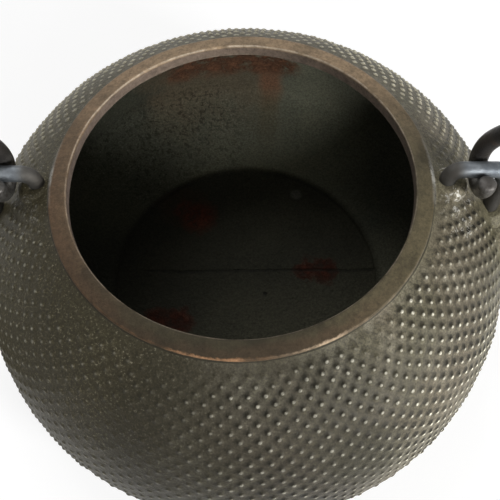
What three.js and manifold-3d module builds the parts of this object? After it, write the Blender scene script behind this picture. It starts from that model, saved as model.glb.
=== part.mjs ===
import * as THREE from "three";
import { mergeVertices } from "three/addons/utils/BufferGeometryUtils.js";
import Module from "manifold-3d";

// Cast iron kettle with a hooked bail, open, with its lid laid on the table beside it.
// Millimetres, +Z up. The origin is the middle of the flat base; the spout points along +X.

const wasm = await Module();
wasm.setup();

// Body casting
const mouthHeight = 72.5; // outer edge of the mouth ring above the table
const mouthRadius = 50.6;
const ringWidth = 5.4;
const ringRise = 0.9; // the ring's top climbs this much from its outer to its inner edge
const ringStep = 1.2; // the ring stands this far proud of the shoulder
const lipDepth = 4.4; // straight wall inside the mouth
const lipRound = 0.5;
const bellyRadius = 87;
const bellyHeight = 16.5;
const shoulderFullness = 2.5; // exponent of the shoulder's curve, 2 is an ellipse
const baseRadius = 52;
const bottomFullness = 1.6; // exponent of the curve from the belly down to the base
const wall = 4;
const floorThickness = 5;
const floorRadius = 48.2; // sharp edge where the round floor meets the cavity's side
const floorStep = 1.5;

// Arare dots, in rows staggered by half a pitch. The solid carries every second dot of every
// fourth row, which keeps its facets few.
const dotsPerRow = 90;
const dotRows = 30;
const dotFirstRow = 4.2; // from the ring's foot to the first row, along the shoulder
const dotRowStep = 2.5;
const dotRadius = 1.3;
const dotRise = 0.6;
const dotMargin = 3.5; // plain iron left round the ears' bosses and the spout
const columnsTaken = 2;
const rowsTaken = 4;

// Spout
const spoutRootHeight = 33; // middle of the root above the table
const spoutRootHalfWidth = 17;
const spoutRootHalfHeight = 13.5;
const spoutRootInset = 20; // the tube's middle line starts this far inside the belly
const spoutRootDrop = 4; // and this much below the root's middle
const spoutReach = 28.4; // tip beyond the belly
const spoutTipRise = 2.5; // tip above the mouth ring's outer edge
const spoutTipRadius = 7.6;
const spoutWall = 2.8;
const spoutSlope = 52; // of the spout at its tip, in degrees above the table
const spoutTaper = 1.6; // exponent, larger makes the root flare more

// Ears: steel staples cast into the shoulder, each with a level bar for the bail's hook
const earRodRadius = 2.4;
const earBarRise = 2.5; // middle of the bars above the mouth ring's outer edge
const earFromRing = 4.5; // from the ring's edge to the middle of the inner foot
const earSpan = 16.3; // between the middles of an ear's two feet
const earBend = 3.8;
const earFootDepth = 2.4; // how far a foot goes into the shoulder
const bossWidth = 1.9; // iron round each foot
const bossRise = 1.4;

// Bail
const hookRodRadius = 2.7;
const hookPlay = 0.5; // between the hook and the ear's bar
const hookFromFoot = 9.1; // from an ear's inner foot to the middle of the hook
const hookTipRise = 2.2; // the hook's open end above the hinge axis
const bailHeight = 108; // crown above the hinge axis
const bailSpread = 17; // the arch's widest place beyond the hooks
const bailLegHeight = 24;
const bailLegLean = 24; // degrees that the legs lean outward
const gripHalfWidth = 4.6;
const gripHalfThickness = 3.2;
const gripFullness = 2.6; // exponent of the grip's section, 2 is an ellipse

// Lid
const lidOverlap = 3.4; // how far the lid's edge reaches over the ring
const lidPlay = 0.8; // between the lid's flange and the mouth
const lidFlangeHeight = 4.2;
const lidFlangeWall = 2.6;
const lidEdge = 2.6;
const lidEdgeRound = 0.87;
const lidThickness = 3;
const lidRise = 4.2;
const lidPadRadius = 13;
const lidGap = 10.4; // between the kettle's belly and the lid on the table
const lidForward = 30; // how far the lid lies in front of the kettle's middle
const washerRadius = 10.5;
const washerThickness = 1.4;
const knobHeight = 18;
const knobWaistHeight = 4.3; // where the bud starts above the knob's foot
const knobRadius = 9;
const knobFootRadius = 5.6;
const knobNeckRadius = 4.2;
const knobPinRadius = 2;
const knobPinDepth = 8; // of the pin inside the knob
const knobPinHeadRadius = 4.6;
const knobPinHeadHeight = 1.4;
const seatGap = 0.3; // clearance of a piece set into another

// Facets
const cavitySides = 48;
const lidSides = 48;
const knobSides = 24;
const pinSides = 16;
const spoutSides = 20;
const rodSides = 10;
const gripSides = 12;
const profileSteps = 60; // of the curves that the dots are placed on
const bendSteps = 5;
const bottomSteps = 4;
const cavitySteps = [6, 10]; // below and above the belly
const spoutSteps = 12;
const archSteps = 16;
const legSteps = 8;
const hookSteps = 10;
const lidSteps = 4;
const budSteps = 8;

const castIron = new THREE.MeshStandardMaterial({ color: 0x5a544a, roughness: 0.55, metalness: 0.6 });
const earSteel = new THREE.MeshStandardMaterial({ color: 0x6f7478, roughness: 0.35, metalness: 0.9 });
const bailIron = new THREE.MeshStandardMaterial({ color: 0x2b2a29, roughness: 0.5, metalness: 0.7 });
const knobIron = new THREE.MeshStandardMaterial({ color: 0x4a443c, roughness: 0.5, metalness: 0.6 });

// Geometry to solid and back
function toSolid(geometry) {
  const bare = geometry.clone();
  bare.deleteAttribute("normal");
  bare.deleteAttribute("uv");
  const merged = mergeVertices(bare, 1e-4);
  const index = merged.index.array;
  const faces = [];
  for (let i = 0; i < index.length; i += 3) {
    const [a, b, c] = [index[i], index[i + 1], index[i + 2]];
    if (a !== b && b !== c && c !== a) faces.push(a, b, c);
  }
  return new wasm.Manifold(
    new wasm.Mesh({
      numProp: 3,
      vertProperties: new Float32Array(merged.attributes.position.array),
      triVerts: new Uint32Array(faces),
    }),
  );
}

function toGeometry(solid) {
  const mesh = solid.getMesh();
  const geometry = new THREE.BufferGeometry();
  geometry.setAttribute("position", new THREE.BufferAttribute(mesh.vertProperties, 3));
  geometry.setIndex(new THREE.BufferAttribute(mesh.triVerts, 1));
  geometry.computeVertexNormals();
  return geometry;
}

// A solid of revolution about Z from [radius, height] pairs
function turned(profile, sides) {
  const points = profile.map(([radius, height]) => new THREE.Vector2(radius, height));
  const geometry = new THREE.LatheGeometry(points, sides);
  geometry.rotateX(Math.PI / 2);
  return toSolid(geometry);
}

// A skin that is built up from numbered points; faces run anticlockwise seen from outside
class Skin {
  positions = [];
  faces = [];

  point(place) {
    this.positions.push(place.x, place.y, place.z);
    return this.positions.length / 3 - 1;
  }

  face(...corners) {
    for (let i = 1; i + 1 < corners.length; i++) {
      this.faces.push(corners[0], corners[i], corners[i + 1]);
    }
  }

  // Joins two rings of as many points; the upper one may also lie inside the lower one
  strip(upper, lower) {
    upper.forEach((corner, i) => {
      const next = (i + 1) % upper.length;
      this.face(corner, lower[i], lower[next], upper[next]);
    });
  }

  fan(top, edge) {
    edge.forEach((corner, i) => this.face(top, corner, edge[(i + 1) % edge.length]));
  }

  solid() {
    const geometry = new THREE.BufferGeometry();
    geometry.setAttribute("position", new THREE.Float32BufferAttribute(this.positions, 3));
    geometry.setIndex(this.faces);
    return toSolid(geometry);
  }
}

// A closed skin over rings of points, with flat ends
function lofted(rings) {
  const skin = new Skin();
  const numbered = rings.map((ring) => ring.map((place) => skin.point(place)));
  for (let i = 1; i < numbered.length; i++) skin.strip(numbered[i], numbered[i - 1]);
  skin.face(...numbered[0].reverse());
  skin.face(...numbered[numbered.length - 1]);
  return skin.solid();
}

// Rings along a path: sectionAt gives [half width, half thickness, exponent] at each point
function ringsAlong(path, firstNormal, sides, sectionAt) {
  let normal = firstNormal.clone();
  return path.map((centre, i) => {
    const before = path[Math.max(i - 1, 0)];
    const after = path[Math.min(i + 1, path.length - 1)];
    const tangent = after.clone().sub(before).normalize();
    normal = normal.clone().addScaledVector(tangent, -normal.dot(tangent)).normalize();
    const side = tangent.clone().cross(normal);
    const [halfWidth, halfThickness, fullness] = sectionAt(i);
    return Array.from({ length: sides }, (_, j) => {
      const turn = (2 * Math.PI * j) / sides;
      const across = halfWidth * signedPower(Math.cos(turn), 2 / fullness);
      const through = halfThickness * signedPower(Math.sin(turn), 2 / fullness);
      return centre.clone().addScaledVector(normal, across).addScaledVector(side, through);
    });
  });
}

function signedPower(value, power) {
  return Math.sign(value) * Math.abs(value) ** power;
}

// Radius and height of a quarter superellipse, from its widest place (turn 0) to its crown
function quarterCurve(radius, rise, fullness, turn) {
  return [radius * Math.cos(turn) ** (2 / fullness), rise * Math.sin(turn) ** (2 / fullness)];
}

// The kettle's outer shoulder
const ringRadius = mouthRadius + ringWidth;
const mouthTop = mouthHeight + ringRise;
const shoulderTop = mouthHeight - ringStep;
const shoulderRise = riseThrough(bellyRadius, ringRadius, shoulderTop - bellyHeight);

function riseThrough(widest, radius, height) {
  return height / (1 - (radius / widest) ** shoulderFullness) ** (1 / shoulderFullness);
}

function shoulderHeight(radius) {
  const level = (1 - (radius / bellyRadius) ** shoulderFullness) ** (1 / shoulderFullness);
  return bellyHeight + shoulderRise * level;
}

function shoulderCurve(widest, rise, endRadius, steps) {
  const endTurn = Math.acos((endRadius / widest) ** (shoulderFullness / 2));
  const curve = [];
  for (let i = 0; i <= steps; i++) {
    const [radius, height] = quarterCurve(widest, rise, shoulderFullness, (endTurn * i) / steps);
    curve.push([radius, bellyHeight + height]);
  }
  return curve;
}

// From the foot of the curve out to the belly, left out itself
function bottomCurve(foot, widest, low, steps) {
  const curve = [];
  for (let i = 0; i < steps; i++) {
    const turn = (Math.PI / 2) * (1 - i / steps);
    const [out, down] = quarterCurve(widest - foot, bellyHeight - low, bottomFullness, turn);
    curve.push([foot + out, bellyHeight - down]);
  }
  return curve;
}

// The outside's profile from the ring's foot down to the base, and the way along it
const profile = [
  ...shoulderCurve(bellyRadius, shoulderRise, ringRadius, profileSteps).reverse(),
  ...bottomCurve(baseRadius, bellyRadius, 0, profileSteps).reverse(),
];
const ways = [0];
for (let i = 1; i < profile.length; i++) {
  const [radius, height] = profile[i];
  ways.push(ways[i - 1] + Math.hypot(radius - profile[i - 1][0], height - profile[i - 1][1]));
}
const profileLength = ways[ways.length - 1];

// A point on the outside: its turn about the axis, its way down from the ring, its lift
function onOutside(turn, way, lift = 0) {
  const i = Math.max(ways.findIndex((passed) => passed >= way), 1);
  const share = (way - ways[i - 1]) / (ways[i] - ways[i - 1]);
  const start = new THREE.Vector2(...profile[i - 1]);
  const along = new THREE.Vector2(...profile[i]).sub(start);
  const place = start.addScaledVector(along, share);
  place.addScaledVector(new THREE.Vector2(-along.y, along.x).normalize(), lift);
  return new THREE.Vector3(place.x * Math.cos(turn), place.x * Math.sin(turn), place.y);
}

function isDotted(place) {
  const bossReach = earRodRadius + bossWidth + dotMargin;
  const byEar = [earInnerFoot, earOuterFoot].some(
    (foot) => Math.hypot(Math.abs(place.x) - foot, place.y) < bossReach && place.z > bellyHeight,
  );
  const across = place.y / (spoutRootHalfWidth + dotMargin);
  const upward = (place.z - spoutRootHeight) / (spoutRootHalfHeight + dotMargin);
  return !byEar && !(place.x > 0 && Math.hypot(across, upward) < 1);
}

// The field of dots: each stands in a diamond whose corners it shares with its neighbours.
// Gives the point numbers of the field's upper and lower edge.
function dotField(skin) {
  const columns = Math.round(dotsPerRow / columnsTaken);
  const rows = Math.ceil(dotRows / rowsTaken);
  const halfPitch = Math.PI / columns;
  const wayOf = (row) => Math.max(dotFirstRow + dotRowStep * rowsTaken * row, 0);
  const shared = new Map();
  const corner = (row, step) => {
    const around = (step + 2 * columns) % (2 * columns);
    const key = row * 2 * columns + around;
    if (!shared.has(key)) shared.set(key, skin.point(onOutside(around * halfPitch, wayOf(row))));
    return shared.get(key);
  };
  const everyStep = (row) => Array.from({ length: columns }, (_, i) => 2 * i + (row % 2));
  for (let row = 0; row < rows; row++) {
    for (const step of everyStep(row)) {
      const [turn, way] = [step * halfPitch, wayOf(row)];
      const diamond = [corner(row - 1, step), corner(row, step - 1)];
      diamond.push(corner(row + 1, step), corner(row, step + 1));
      const dotted = isDotted(onOutside(turn, way));
      const foot = dotted ? dotFoot(skin, turn, way) : diamond;
      if (dotted) skin.strip(foot, diamond);
      skin.fan(skin.point(onOutside(turn, way, dotted ? dotRise : 0)), foot);
    }
  }
  for (const step of everyStep(0)) {
    skin.face(corner(-1, step), corner(0, step + 1), corner(-1, step + 2));
  }
  for (const step of everyStep(rows - 1)) {
    skin.face(corner(rows - 1, step + 1), corner(rows, step), corner(rows, step + 2));
  }
  const upper = everyStep(0).map((step) => corner(-1, step));
  const lower = everyStep(rows - 1).map((step) => corner(rows, step));
  return { columns, upper, lower, firstTurn: ((rows - 1) % 2) * halfPitch, lowWay: wayOf(rows) };
}

function dotFoot(skin, turn, way) {
  const axis = onOutside(turn, way);
  const aside = dotRadius / Math.hypot(axis.x, axis.y);
  const places = [
    onOutside(turn, way - dotRadius),
    onOutside(turn - aside, way),
    onOutside(turn, way + dotRadius),
    onOutside(turn + aside, way),
  ];
  return places.map((place) => skin.point(place));
}

function bodyOutside() {
  const skin = new Skin();
  const field = dotField(skin);
  const circle = (radius, height, firstTurn) =>
    Array.from({ length: field.columns }, (_, i) => {
      const turn = firstTurn + (2 * Math.PI * i) / field.columns;
      return skin.point(new THREE.Vector3(radius * Math.cos(turn), radius * Math.sin(turn), height));
    });
  let above = circle(mouthRadius, mouthTop, 0);
  skin.face(...above);
  for (const [radius, height] of [
    [ringRadius - lipRound, mouthHeight],
    [ringRadius, mouthHeight - lipRound],
  ]) {
    const below = circle(radius, height, 0);
    skin.strip(above, below);
    above = below;
  }
  skin.strip(above, field.upper);
  above = field.lower;
  for (let i = 1; i <= bottomSteps; i++) {
    const way = THREE.MathUtils.lerp(field.lowWay, profileLength, i / bottomSteps);
    const place = onOutside(0, Math.min(way, profileLength));
    const below = circle(place.x, place.z, field.firstTurn);
    skin.strip(above, below);
    above = below;
  }
  skin.face(...above.reverse());
  return skin.solid();
}

function bodyCavity() {
  const ceiling = shoulderTop - wall;
  const widest = bellyRadius - wall;
  const innerRise = riseThrough(widest, ringRadius, ceiling - bellyHeight);
  const low = floorThickness + floorStep;
  const above = wall; // the cutting solid runs past the mouth
  return turned(
    [
      [0, floorThickness],
      [floorRadius, floorThickness],
      ...bottomCurve(floorRadius + floorStep / 3, widest, low, cavitySteps[0]),
      ...shoulderCurve(widest, innerRise, ringRadius, cavitySteps[1]),
      [mouthRadius, mouthTop - lipDepth],
      [mouthRadius, mouthTop - lipRound],
      [mouthRadius + lipRound + above, mouthTop + above],
      [0, mouthTop + above],
    ],
    cavitySides,
  );
}

// Spout: a tapered tube that leaves the belly and bends up to its tip
const spoutTipReach = bellyRadius + spoutReach;
const spoutTipHeight = mouthHeight + spoutTipRise;

function spoutPath(overrun) {
  const root = new THREE.Vector3(bellyRadius - spoutRootInset, 0, spoutRootHeight - spoutRootDrop);
  const tip = new THREE.Vector3(spoutTipReach, 0, spoutTipHeight);
  const rise = THREE.MathUtils.degToRad(spoutSlope);
  const along = new THREE.Vector3(Math.cos(rise), 0, Math.sin(rise));
  const reach = tip.distanceTo(root) / 3; // thirds keep the curve even
  const fromRoot = root.clone().add(new THREE.Vector3(reach, 0, reach * 0.3));
  const intoTip = tip.clone().addScaledVector(along, -reach);
  const points = new THREE.CubicBezierCurve3(root, fromRoot, intoTip, tip).getSpacedPoints(spoutSteps);
  if (overrun > 0) points.push(tip.clone().addScaledVector(along, overrun));
  return points;
}

function spoutTube(inset, overrun) {
  const across = new THREE.Vector3(0, 1, 0);
  return lofted(
    ringsAlong(spoutPath(overrun), across, spoutSides, (i) => {
      const share = Math.min(i / spoutSteps, 1);
      const taper = (1 - share) ** spoutTaper;
      const width = spoutTipRadius + (spoutRootHalfWidth - spoutTipRadius) * taper;
      const height = spoutTipRadius + (spoutRootHalfHeight - spoutTipRadius) * taper;
      return [width - inset, height - inset, 2];
    }),
  );
}

// The spout's tip is cut level, so that it pours from its lip
function spoutTrim() {
  const size = 6 * spoutTipRadius;
  const box = new THREE.BoxGeometry(size, size, size);
  box.translate(spoutTipReach, 0, spoutTipHeight + size / 2);
  return toSolid(box);
}

function upright(radiusLow, radiusHigh, x, low, high) {
  const post = new THREE.CylinderGeometry(radiusHigh, radiusLow, high - low, rodSides);
  post.rotateX(Math.PI / 2);
  post.translate(x, 0, (low + high) / 2);
  return toSolid(post);
}

// The ears' feet and the bars between them
const earInnerFoot = ringRadius + earFromRing;
const earOuterFoot = earInnerFoot + earSpan;
const earBarHeight = mouthHeight + earBarRise;

function kettleBody() {
  let outside = bodyOutside().add(spoutTube(0, 2 * spoutTipRadius).subtract(spoutTrim()));
  let inside = bodyCavity().add(spoutTube(spoutWall, 3 * spoutTipRadius));
  const bossRadius = earRodRadius + bossWidth;
  const socketRadius = earRodRadius + seatGap;
  for (const side of [-1, 1]) {
    for (const foot of [earInnerFoot, earOuterFoot]) {
      const surface = shoulderHeight(foot);
      const buried = surface - wall / 2;
      outside = outside.add(
        upright(bossRadius + bossRise, bossRadius, side * foot, buried, surface + bossRise),
      );
      inside = inside.add(
        upright(socketRadius, socketRadius, side * foot, surface - earFootDepth, mouthTop + wall),
      );
    }
  }
  return toGeometry(outside.subtract(inside));
}

// A bent rod's middle line in the XZ plane, for an ear on the +X side
function earPath() {
  const path = new THREE.Path();
  const footLow = (foot) => shoulderHeight(foot) - earFootDepth + seatGap;
  path.moveTo(earInnerFoot, footLow(earInnerFoot));
  path.lineTo(earInnerFoot, earBarHeight - earBend);
  path.absarc(earInnerFoot + earBend, earBarHeight - earBend, earBend, Math.PI, Math.PI / 2, true);
  path.lineTo(earOuterFoot - earBend, earBarHeight);
  path.absarc(earOuterFoot - earBend, earBarHeight - earBend, earBend, Math.PI / 2, 0, true);
  path.lineTo(earOuterFoot, footLow(earOuterFoot));
  return path.getPoints(bendSteps).map((p) => new THREE.Vector3(p.x, 0, p.y));
}

function earStaple(side) {
  const across = new THREE.Vector3(0, 1, 0);
  const round = () => [earRodRadius, earRodRadius, 2];
  const rod = toGeometry(lofted(ringsAlong(earPath(), across, rodSides, round)));
  if (side < 0) rod.rotateZ(Math.PI);
  return rod;
}

// The bail's middle line from its crown to the open end of the hook on the +X side,
// in millimetres from the hinge axis
const hookRadius = earRodRadius + hookPlay + hookRodRadius;
const hookOffset = earInnerFoot + hookFromFoot;

function bailHalfPath() {
  const lean = THREE.MathUtils.degToRad(bailLegLean);
  const legWay = new THREE.Vector3(Math.sin(lean), 0, Math.cos(lean));
  const legSpread = 0.75 * bailLegHeight * Math.tan(lean); // the leg is curved, so not the whole
  const legTop = new THREE.Vector3(hookOffset + legSpread, 0, bailLegHeight);
  const crown = new THREE.Vector3(0, 0, bailHeight);
  const shoulder = new THREE.Vector3(hookOffset * 0.95, 0, bailHeight);
  const haunch = legTop.clone().addScaledVector(legWay, 2 * bailLegHeight);
  haunch.x += (bailSpread - legSpread) * 0.35;
  const legLow = legTop.clone().addScaledVector(legWay, -0.4 * bailLegHeight);
  const hookTop = new THREE.Vector3(hookOffset, hookRadius, 0);
  const hookIn = hookTop.clone().setZ(0.45 * bailLegHeight);
  const arch = new THREE.CubicBezierCurve3(crown, shoulder, haunch, legTop);
  const leg = new THREE.CubicBezierCurve3(legTop, legLow, hookIn, hookTop);
  const hook = [];
  for (let i = 1; i <= hookSteps; i++) {
    const turn = (Math.PI * i) / hookSteps;
    const [y, z] = [hookRadius * Math.cos(turn), -hookRadius * Math.sin(turn)];
    hook.push(new THREE.Vector3(hookOffset, y, z));
  }
  const straight = new THREE.Vector3(hookOffset, -hookRadius, hookTipRise - hookRodRadius / 2);
  const rounding = straight.clone();
  rounding.z = hookTipRise;
  const upper = [...arch.getSpacedPoints(archSteps), ...leg.getSpacedPoints(legSteps).slice(1)];
  return [...upper, ...hook, straight, rounding];
}

function bail() {
  const half = bailHalfPath();
  const tip = half.length - 1;
  const mirrored = half.slice(1).map((p) => new THREE.Vector3(-p.x, p.y, p.z));
  const fromCrown = (path, firstNormal) =>
    ringsAlong(path, firstNormal, gripSides, (i) => {
      const share = THREE.MathUtils.smoothstep(i, archSteps / 3, archSteps);
      const width = gripHalfWidth + (hookRodRadius - gripHalfWidth) * share;
      const thickness = gripHalfThickness + (hookRodRadius - gripHalfThickness) * share;
      const closing = i === tip ? 0.6 : 1;
      const fullness = THREE.MathUtils.lerp(gripFullness, 2, share);
      return [width * closing, thickness * closing, fullness];
    });
  const across = new THREE.Vector3(0, 1, 0);
  const right = fromCrown(half, across);
  const left = fromCrown([half[0], ...mirrored], across).slice(1).reverse();
  // The left half runs towards the crown, so its rings are read the other way round
  const turnedLeft = left.map((ring) => ring.map((_, j) => ring[(gripSides - j) % gripSides]));
  return toGeometry(lofted([...turnedLeft, ...right]));
}

// Lid and its knob, standing on the lid's flange at height 0
const lidRadius = mouthRadius + lidOverlap;
const flangeRadius = mouthRadius - lidPlay;
const lidRimTop = lidFlangeHeight + lidEdge;
const lidPadTop = lidRimTop + lidRise;
const lidPadUnder = lidPadTop - lidThickness;
const pinHoleRadius = knobPinRadius + seatGap;
const knobFootHeight = lidPadTop + washerThickness;

function lidDome(radius, top) {
  const share = (radius - lidPadRadius) / (lidRadius - lidPadRadius);
  return top - lidRise * share * share;
}

function lidPlate() {
  const inner = flangeRadius - lidFlangeWall;
  const edgeIn = lidRadius - lidEdgeRound;
  const topCurve = [];
  const underCurve = [];
  for (let i = 0; i <= lidSteps; i++) {
    const radius = THREE.MathUtils.lerp(edgeIn, lidPadRadius, i / lidSteps);
    topCurve.push([radius, lidDome(radius, lidPadTop)]);
    const under = THREE.MathUtils.lerp(lidPadRadius, inner, i / lidSteps);
    underCurve.push([under, lidDome(under, lidPadUnder)]);
  }
  return toGeometry(
    turned(
      [
        [pinHoleRadius, lidPadUnder],
        ...underCurve,
        [inner, 0],
        [flangeRadius, 0],
        [flangeRadius, lidFlangeHeight],
        [lidRadius, lidFlangeHeight],
        [lidRadius, lidRimTop - lidEdgeRound],
        ...topCurve,
        [pinHoleRadius, lidPadTop],
        [pinHoleRadius, lidPadUnder],
      ],
      lidSides,
    ),
  );
}

function knobWasher() {
  const bevel = washerThickness / 2;
  return toGeometry(
    turned(
      [
        [pinHoleRadius, lidPadTop],
        [washerRadius, lidPadTop],
        [washerRadius, lidPadTop + bevel],
        [washerRadius - bevel, knobFootHeight],
        [pinHoleRadius, knobFootHeight],
        [pinHoleRadius, lidPadTop],
      ],
      knobSides,
    ),
  );
}

// A bud on a waisted foot, hollow where the pin enters
function lidKnob() {
  const foot = knobFootHeight;
  const budLow = foot + knobWaistHeight;
  const budRise = knobHeight - knobWaistHeight;
  const holeTop = foot + knobPinDepth + seatGap;
  const bud = [];
  for (let i = 1; i < budSteps; i++) {
    const share = i / budSteps;
    const radius = knobRadius * Math.sin(Math.PI * share ** 0.8) ** 0.75;
    bud.push([Math.max(radius, knobNeckRadius * (1 - share)), budLow + budRise * share]);
  }
  return toGeometry(
    turned(
      [
        [pinHoleRadius, foot],
        [knobFootRadius, foot],
        [knobFootRadius, foot + washerThickness / 2],
        [knobNeckRadius, budLow],
        ...bud,
        [0, foot + knobHeight],
        [0, holeTop],
        [pinHoleRadius, holeTop],
        [pinHoleRadius, foot],
      ],
      knobSides,
    ),
  );
}

function knobPin() {
  const headLow = lidPadUnder - knobPinHeadHeight;
  return toGeometry(
    turned(
      [
        [0, headLow],
        [knobPinHeadRadius * 0.7, headLow],
        [knobPinHeadRadius, headLow + knobPinHeadHeight / 2],
        [knobPinHeadRadius, lidPadUnder],
        [knobPinRadius, lidPadUnder],
        [knobPinRadius, knobFootHeight + knobPinDepth],
        [0, knobFootHeight + knobPinDepth],
      ],
      pinSides,
    ),
  );
}

function piece(name, geometry, material) {
  const mesh = new THREE.Mesh(geometry, material);
  mesh.name = name;
  return mesh;
}

const kettle = new THREE.Group();
kettle.add(piece("kettle_body", kettleBody(), castIron));
kettle.add(piece("ear_staple_left", earStaple(-1), earSteel));
kettle.add(piece("ear_staple_right", earStaple(1), earSteel));

const handle = new THREE.Group();
handle.position.z = earBarHeight;
handle.add(piece("bail", bail(), bailIron));
kettle.add(handle);

const lid = new THREE.Group();
lid.position.set(-(bellyRadius + lidGap + lidRadius), -lidForward, 0);
lid.add(piece("lid_plate", lidPlate(), castIron));
lid.add(piece("knob_washer", knobWasher(), knobIron));
lid.add(piece("lid_knob", lidKnob(), knobIron));
lid.add(piece("knob_pin", knobPin(), earSteel));
kettle.add(lid);

export default kettle;
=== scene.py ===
import math

import bpy
import numpy as np
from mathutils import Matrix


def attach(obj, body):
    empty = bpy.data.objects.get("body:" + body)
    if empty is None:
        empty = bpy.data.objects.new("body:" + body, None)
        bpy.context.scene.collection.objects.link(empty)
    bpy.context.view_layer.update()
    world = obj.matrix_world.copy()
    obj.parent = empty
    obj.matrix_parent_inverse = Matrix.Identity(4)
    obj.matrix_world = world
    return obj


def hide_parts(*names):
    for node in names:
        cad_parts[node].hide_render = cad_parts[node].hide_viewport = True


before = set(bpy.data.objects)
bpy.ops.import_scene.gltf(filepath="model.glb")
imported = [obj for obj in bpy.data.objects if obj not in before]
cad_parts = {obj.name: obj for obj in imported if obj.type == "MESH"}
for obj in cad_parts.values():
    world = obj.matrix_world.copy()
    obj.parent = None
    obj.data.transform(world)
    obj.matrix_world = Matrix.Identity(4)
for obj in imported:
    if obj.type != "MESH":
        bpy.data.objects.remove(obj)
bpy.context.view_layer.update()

# Cast iron kettle with arare dots, open, its lid laid beside it
mm = 0.001  # the pieces are worked out in millimetres
fullTurn = 2 * math.pi
scene = bpy.context.scene
print("frame loaded:", len(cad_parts), "nodes")


# camera, at the angle from which the open mouth is seen
camera = {
    "place": (6.04, -115.25, 239.98),
    "turn": (28.495, 1.047, 0.135),
    "focal": 50.0,
    "film": 36.0,
    "nearest": 0.01,
}


def makeCamera():
    data = bpy.data.cameras.new("camera")
    data.lens = camera["focal"]
    data.sensor_width = camera["film"]
    data.clip_start = camera["nearest"]
    eye = bpy.data.objects.new("camera", data)
    eye.location = [v * mm for v in camera["place"]]
    eye.rotation_euler = [math.radians(v) for v in camera["turn"]]
    scene.collection.objects.link(eye)
    scene.camera = eye


makeCamera()


def feed(node, sockets):
    # links a wire to its socket and sets a plain value on it
    for name, value in sockets.items():
        if isinstance(value, Wire):
            value.tree.links.new(value.socket, node.inputs[name])
        else:
            node.inputs[name].default_value = value


# shader maths: a wire is a socket that can stand in a sum
class Wire:
    def __init__(self, tree, socket=None):
        self.tree = tree
        self.socket = socket

    def node(self, kind, settings=None, inputs=None, output=0):
        made = self.tree.nodes.new("ShaderNode" + kind)
        for name, value in (settings or {}).items():
            setattr(made, name, value)
        feed(made, inputs or {})
        return Wire(self.tree, made.outputs[output])

    def maths(self, operation, first, second=0.0):
        return self.node("Math", {"operation": operation}, {0: first, 1: second})

    def __add__(self, other):
        return self.maths("ADD", self, other)

    def __mul__(self, other):
        return self.maths("MULTIPLY", self, other)

    def __sub__(self, other):
        return self.maths("SUBTRACT", self, other)

    def __rsub__(self, other):
        return self.maths("SUBTRACT", other, self)

    def __abs__(self):
        return self.maths("ABSOLUTE", self)

    __radd__ = __add__
    __rmul__ = __mul__


def rise(value, low, high):
    # 0 below low, 1 above high and smooth between
    limits = {"Value": value, "From Min": low, "From Max": high}
    return value.node("MapRange", {"interpolation_type": "SMOOTHSTEP"}, limits)


def fall(value, low, high):
    return 1 - rise(value, low, high)


def band(value, low, high, soft):
    return rise(value, low - soft, low + soft) * fall(value, high - soft, high + soft)


def largest(first, *others):
    for other in others:
        first = first.maths("MAXIMUM", first, other)
    return first


def axis(place, number):
    return place.node("SeparateXYZ", {}, {0: place}, number)


def attribute(wire, name):
    return wire.node("Attribute", {"attribute_name": name}, {}, "Fac")


def noise(place, size, detail=3.0, roughness=0.55, warp=0.0, at=None):
    # at moves the pattern, so that two of one size differ
    if at:
        place = place.node("VectorMath", {"operation": "ADD"}, {0: place, 1: at})
    sockets = {"Vector": place, "Scale": 1 / size, "Detail": detail}
    sockets.update({"Roughness": roughness, "Distortion": warp})
    return place.node("TexNoise", {}, sockets)


def spot(place, centre, radius, ragged):
    # a blot round a point, with an edge made ragged by a noise
    away = place.node("VectorMath", {"operation": "DISTANCE"}, {0: place, 1: centre}, "Value")
    return fall(away + ragged, radius * 0.55, radius * 1.1)


def tint(factor, first, second):
    sockets = {0: factor, 6: first, 7: second}
    return factor.node("Mix", {"data_type": "RGBA"}, sockets, 2)


def shade(colour, *amounts):
    # a colour made darker or lighter by one value after another
    for amount in amounts:
        flat = amount.node("CombineXYZ", {}, {0: amount, 1: amount, 2: amount})
        sockets = {0: colour, 1: flat}
        colour = colour.node("VectorMath", {"operation": "MULTIPLY"}, sockets)
    return colour


def linear(screen):
    # a screen colour from 0 to 255 as the shader's own
    values = [v / 255 for v in screen]
    return [v / 12.92 if v <= 0.04045 else ((v + 0.055) / 1.055) ** 2.4 for v in values] + [1.0]


def nodeOf(owner, kind):
    return next(n for n in owner.node_tree.nodes if n.type == kind)


def newMaterial(name):
    material = bpy.data.materials.new(name)
    material.use_nodes = True
    metres = Wire(material.node_tree).node("TexCoord", {}, {}, "Object")
    place = metres.node("VectorMath", {"operation": "SCALE"}, {0: metres, "Scale": 1 / mm})
    return material, nodeOf(material, "BSDF_PRINCIPLED"), place


def secondSkin(material, shader, share):
    # a second shader laid over the first one by a value from 0 to 1
    second = share.node("BsdfPrincipled")
    skins = {0: share, 1: Wire(share.tree, shader.outputs[0]), 2: second}
    feed(nodeOf(material, "OUTPUT_MATERIAL"), {"Surface": share.node("MixShader", {}, skins)})
    return second.socket.node


def finish(shader, colour, roughness, metallic, bumps, shine=None):
    # bumps are heights with their depths in millimetres, each laid over the one before
    sockets = {"Base Color": colour, "Roughness": roughness, "Metallic": metallic}
    normal = {}
    for height, depth in bumps:
        bump = {"Height": height, "Distance": depth * mm, "Strength": 1.0, **normal}
        normal = {"Normal": height.node("Bump", {}, bump)}
    feed(shader, {**sockets, **normal, **(shine or {})})


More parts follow.
